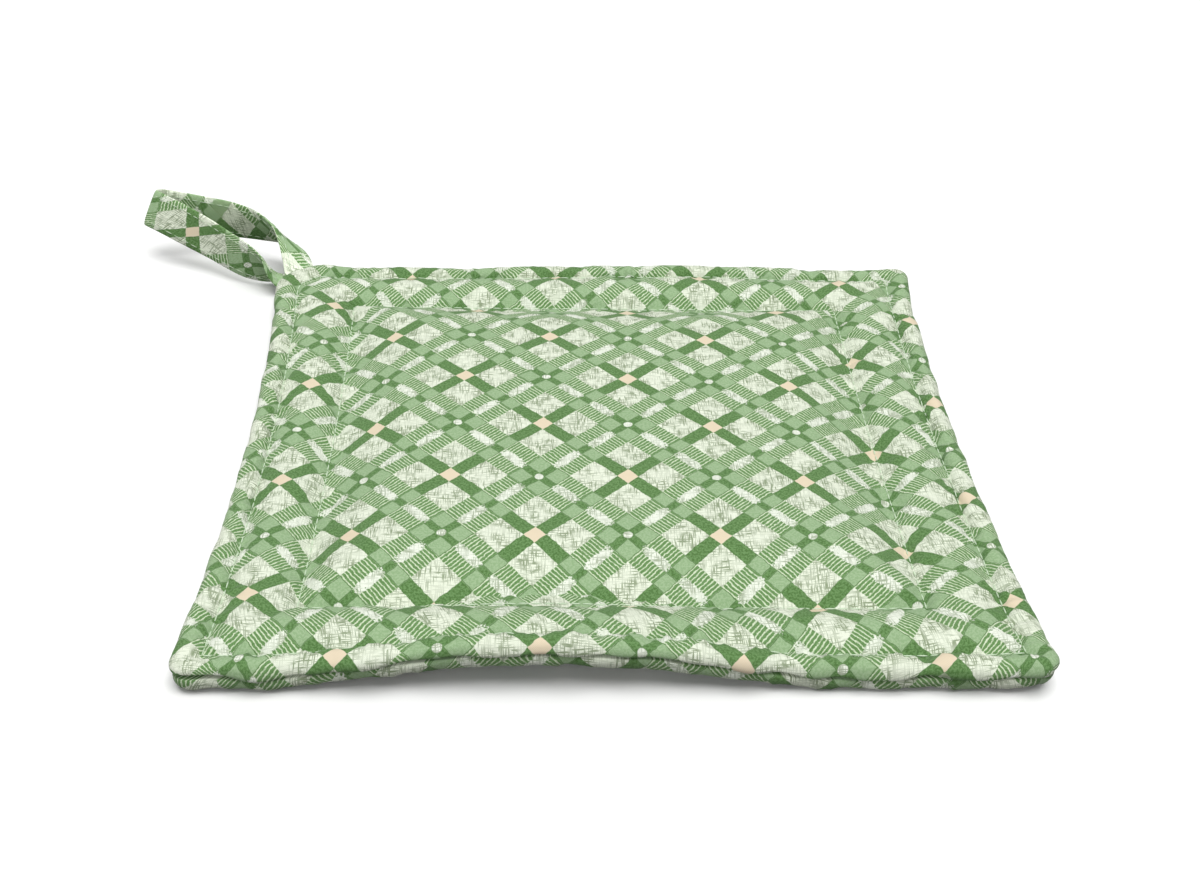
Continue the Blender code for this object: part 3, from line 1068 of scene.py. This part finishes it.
# %% Line of the loop
Section = namedtuple("Section", "x y z lean bearing width")
LOOP_SECTIONS = (
    Section(-0.0932, 0.0938, 0.00375, 90, 230, 0.0125),
    Section(-0.0992, 0.0982, 0.00375, 90, 235, 0.0125),
    Section(-0.1031, 0.0993, 0.0047, 70, 243, 0.0130),
    Section(-0.1068, 0.0998, 0.0069, 29, 243, 0.0137),
    Section(-0.1112, 0.1011, 0.0083, 11, 245, 0.0140),
    Section(-0.1165, 0.1032, 0.0099, 3, 65, 0.0137),
    Section(-0.1275, 0.1103, 0.0130, 8, 55, 0.0140),
    Section(-0.1457, 0.1208, 0.0176, 24, 24, 0.0130),
    Section(-0.1480, 0.1230, 0.0178, 25, 24, 0.0130),
    Section(-0.1456, 0.1245, 0.0173, 24, 24, 0.0130),
    Section(-0.1250, 0.1230, 0.0144, 3, 90, 0.0131),
    Section(-0.1122, 0.1192, 0.0135, 16, 248, 0.0132),
    Section(-0.1036, 0.1137, 0.0123, 38, 233, 0.0122),
    Section(-0.0997, 0.1084, 0.0105, 60, 213, 0.0104),
    Section(-0.0977, 0.1040, 0.0080, 76, 204, 0.0100),
    Section(-0.0967, 0.1010, 0.0062, 83, 206, 0.0104),
    Section(-0.0954, 0.0980, 0.00545, 90, 212, 0.0106),
    Section(-0.0930, 0.0938, 0.00545, 90, 220, 0.0106),
)
LOOP_STEPS = 360
Line = namedtuple("Line", "middles ups outs widths walked")


def upper_edge(s):
    """The direction from a section's middle to the upper edge of the strip."""
    lean, bearing = math.radians(s.lean), math.radians(s.bearing)
    return math.cos(bearing) * math.sin(lean), math.sin(bearing) * math.sin(lean), math.cos(lean)


def strip_line(steps):
    """At even steps along the strip: middle, direction up and out of it, width, and length so far."""
    rows = np.array([(s.x, s.y, s.z, *upper_edge(s), s.width) for s in LOOP_SECTIONS])
    between = np.linalg.norm(np.diff(rows[:, :3], axis=0), axis=1)
    lengths = np.concatenate([[0.0], between.cumsum()])
    curve = through(lengths, rows, np.linspace(0.0, lengths[-1], steps + 1))
    middles, ups, widths = curve[:, :3], curve[:, 3:6], curve[:, 6]
    ups = ups / np.linalg.norm(ups, axis=1, keepdims=True)
    outs = np.cross(np.gradient(middles, axis=0), ups)
    outs /= np.linalg.norm(outs, axis=1, keepdims=True)
    walked = np.concatenate([[0.0], np.linalg.norm(np.diff(middles, axis=0), axis=1).cumsum()])
    return Line(middles, ups, outs, widths, walked)


loop_line = strip_line(LOOP_STEPS)

# %% [markdown]
# ## The strip itself
# The strip is a flat tube round that line. A cloth simulation crumples so narrow a strip, so it is
# made in its final shape: a grid is rolled up, with one side along the line and the other round
# the strip. The print lies on it as it was cut, a little out of square, and another way on each
# face.

# %% Strip of the loop
STRIP_WIDTH, STRIP_THICKNESS = 0.014, 0.0014
LOOP_ROUND = 32
EDGE_SHAPE, FACE_SHAPE = 0.55, 0.8      # powers of sine and cosine: the lower, the squarer
# where along the print a face starts, how far it was pulled out of square when it was turned,
# which way up the print runs, and how far down it lies
Cut = namedtuple("Cut", "start skew rise drop")
OUTER_FACE, INNER_FACE = Cut(-0.0456, 0.80, -1.03, 0.0), Cut(-0.0950, 0.30, 1.00, 0.0099)


def powered(value, power):
    """A number raised to a power, with its sign kept."""
    return math.copysign(abs(value) ** power, value)


def loop_mesh(line):
    """A grid rolled into a flat tube along the line."""
    mesh = bmesh.new()
    bmesh.ops.create_grid(mesh, x_segments=LOOP_STEPS, y_segments=LOOP_ROUND, size=1.0)
    flat = mesh.verts.layers.float_vector.new("flat")
    for vert in mesh.verts:
        step = round((vert.co.x + 1) * LOOP_STEPS / 2)
        turn = (vert.co.y + 1) * math.pi
        side, out = math.cos(turn), math.sin(turn)
        up = powered(side, EDGE_SHAPE) * (line.widths[step] / 2)
        thick = powered(out, FACE_SHAPE) * STRIP_THICKNESS / 2
        vert.co = line.middles[step] + line.ups[step] * up + line.outs[step] * thick
        cut = OUTER_FACE if out < 0 else INNER_FACE
        vert[flat] = (cut.start + line.walked[step] + cut.skew * up, cut.rise * up + cut.drop, 0.0)
    return mesh


strip = loop_mesh(loop_line)
mapped(strip)
bmesh.ops.remove_doubles(strip, verts=strip.verts[:], dist=1e-6)
bmesh.ops.holes_fill(strip, edges=[e for e in strip.edges if e.is_boundary], sides=0)
bmesh.ops.recalc_face_normals(strip, faces=strip.faces[:])
print("strip:", len(strip.faces), "faces")

# %% [markdown]
# ## The loop as a piece
# The strip gets the same print, a little lighter, because it stands upright and gets less of the
# light from above.

# %% Loop as a piece
# the loop's print is painted a quarter lighter: painted light for an upright strip that gets less light
# from above
loop_print = printed_cotton("loop_print", (CREAM_AT[0], CREAM_AT[1] - 0.5), painted_light=1.25)
hanging_loop = set_down("loop_strip", mesh_of("loop_strip", strip), loop_print)
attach(hanging_loop, "root")
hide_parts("hanging_loop")

# %% [markdown]
# ## One stitch
# The thread shows as short pale dashes, about three millimetres each, that dip into the cloth at
# both ends. A stitch is so small that a spindle of a few faces is enough: a low sphere, stretched.
# It is made once, then copied, turned and stretched between the two ends of each stitch.

# %% Thread and stitch
STITCH, THREAD_RADIUS = 0.0031, 0.0002
PLIES_PER_METRE = 2500.0


def thread(name, colour):
    """Cotton thread: its colour, with painted shade between the plies."""
    material, tree, shader = new_material(name)
    place = tree.nodes.new("ShaderNodeTexCoord").outputs["Object"]
    ply = mottle(tree, place, PLIES_PER_METRE, 2.0, 0.5)
    shadow = tuple(c * 0.8 for c in colour)
    tree.links.new(painted(tree, colour, shadow, ply), shader.inputs["Base Color"])
    shader.inputs["Roughness"].default_value = 0.6
    shader.inputs["Sheen Weight"].default_value = 0.2
    return material


def spindle_mesh():
    """One short length of thread, 2 long and 2 thick, pointed at both ends, along X."""
    mesh = bmesh.new()
    along_x = Matrix.Rotation(math.pi / 2, 4, "Y")
    bmesh.ops.create_uvsphere(mesh, u_segments=6, v_segments=5, radius=1.0, matrix=along_x)
    return mesh_of("spindle", mesh)


SPINDLE = spindle_mesh()


def set_stitch(mesh, start, end, radius=THREAD_RADIUS):
    """Adds one stitch that runs from start to end."""
    along = end - start
    turn = along.to_track_quat("X", "Z").to_matrix().to_4x4()
    stretch = Matrix.Diagonal((along.length * 0.5, radius, radius, 1))
    spindle = SPINDLE.copy()
    spindle.transform(Matrix.Translation((start + end) / 2) @ turn @ stretch)
    mesh.from_mesh(spindle)
    bpy.data.meshes.remove(spindle)


stitch_thread = thread("mint_thread", srgb(208, 227, 198))
print("a stitch has", len(SPINDLE.polygons), "faces")

# %% [markdown]
# ## Sewing the covers
# Two lines of stitching run round each cover, one by the edge and one round the quilted square.
# Their places are worked out on the flat outline. A straight look down, or up from below, then
# finds the cloth under each end of a stitch, so the thread follows every pucker.

# %% Stitches in the covers
LOOK_FROM, THREAD_LIFT = 0.05, 0.00012
STITCH_ENDS = (0.08, 0.92)      # shares of a stitch's length where its thread comes up, goes down


def stitch_ring(inset):
    """Places along a square line of stitching, as pairs a stitch apart."""
    half = HALF - inset
    count = round(2 * half / STITCH)
    pairs = []
    for sx, sy, dx, dy in ((-1, -1, 1, 0), (1, -1, 0, 1), (1, 1, -1, 0), (-1, 1, 0, -1)):
        for k in range(count):
            pair = []
            for end in STITCH_ENDS:
                t = 2 * half * (k + end) / count
                x, y = outline_point(sx * half + dx * t, sy * half + dy * t)
                pair.append(Vector((x, y, 0.0)))
            pairs.append(pair)
    return pairs


def sewn(mesh, surface, pairs, look):
    """Sets a stitch down between each pair of places, on the surface met by looking that way."""
    for pair in pairs:
        hits = [surface.ray_cast(point - look * LOOK_FROM, look)[0] for point in pair]
        if all(hit is not None for hit in hits):
            set_stitch(mesh, *(hit - look * THREAD_LIFT for hit in hits))


def stitches_in(name, cover, look):
    """Both lines of stitching of a cover, as one piece."""
    surface = BVHTree.FromObject(cover, bpy.context.evaluated_depsgraph_get())
    mesh = bmesh.new()
    for inset in (EDGE_STITCH, QUILTED_SQUARE):
        sewn(mesh, surface, stitch_ring(inset), look)
    stitches = set_down(name, mesh_of(name, mesh), stitch_thread)
    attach(stitches, "root")
    print(name, len(stitches.data.polygons), "faces")


stitches_in("front_stitches", front_cover, Vector((0, 0, -1)))
stitches_in("back_stitches", back_cover, Vector((0, 0, 1)))

# %% [markdown]
# ## Sewing the loop
# The strip was stitched near both edges before it was folded, so thread shows on both faces. The
# line of the strip gives each stitch its place, and its thread is finer than that of the covers.

# %% Stitches in the loop
SEWN_IN, STRIP_EDGE = 0.009, 0.0019     # the ends in the seam, and how far in from the edge to sew
LOOP_THREAD = THREAD_RADIUS * 0.62
LOOP_STITCH_ENDS = (0.12, 0.88)
LOOP_THREAD_LIFT = 0.00004


def strip_stitches(line):
    """Stitches along both edges of the strip, on both of its faces."""
    mesh = bmesh.new()
    free = line.walked[-1] - 2 * SEWN_IN
    count = round(free / STITCH)
    for edge in (-1, 1):
        for face in (-1, 1):
            for k in range(count):
                ends = []
                for share in LOOP_STITCH_ENDS:
                    step = int(np.searchsorted(line.walked, SEWN_IN + (k + share) * free / count))
                    up = line.ups[step] * edge * (line.widths[step] / 2 - STRIP_EDGE)
                    out = line.outs[step] * face * (STRIP_THICKNESS / 2 + LOOP_THREAD_LIFT)
                    ends.append(Vector(line.middles[step] + up + out))
                set_stitch(mesh, *ends, radius=LOOP_THREAD)
    return mesh


loop_stitches = set_down(
    "loop_stitches", mesh_of("loop_stitches", strip_stitches(loop_line)), stitch_thread
)
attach(loop_stitches, "root")
print("loop_stitches", len(loop_stitches.data.polygons), "faces")
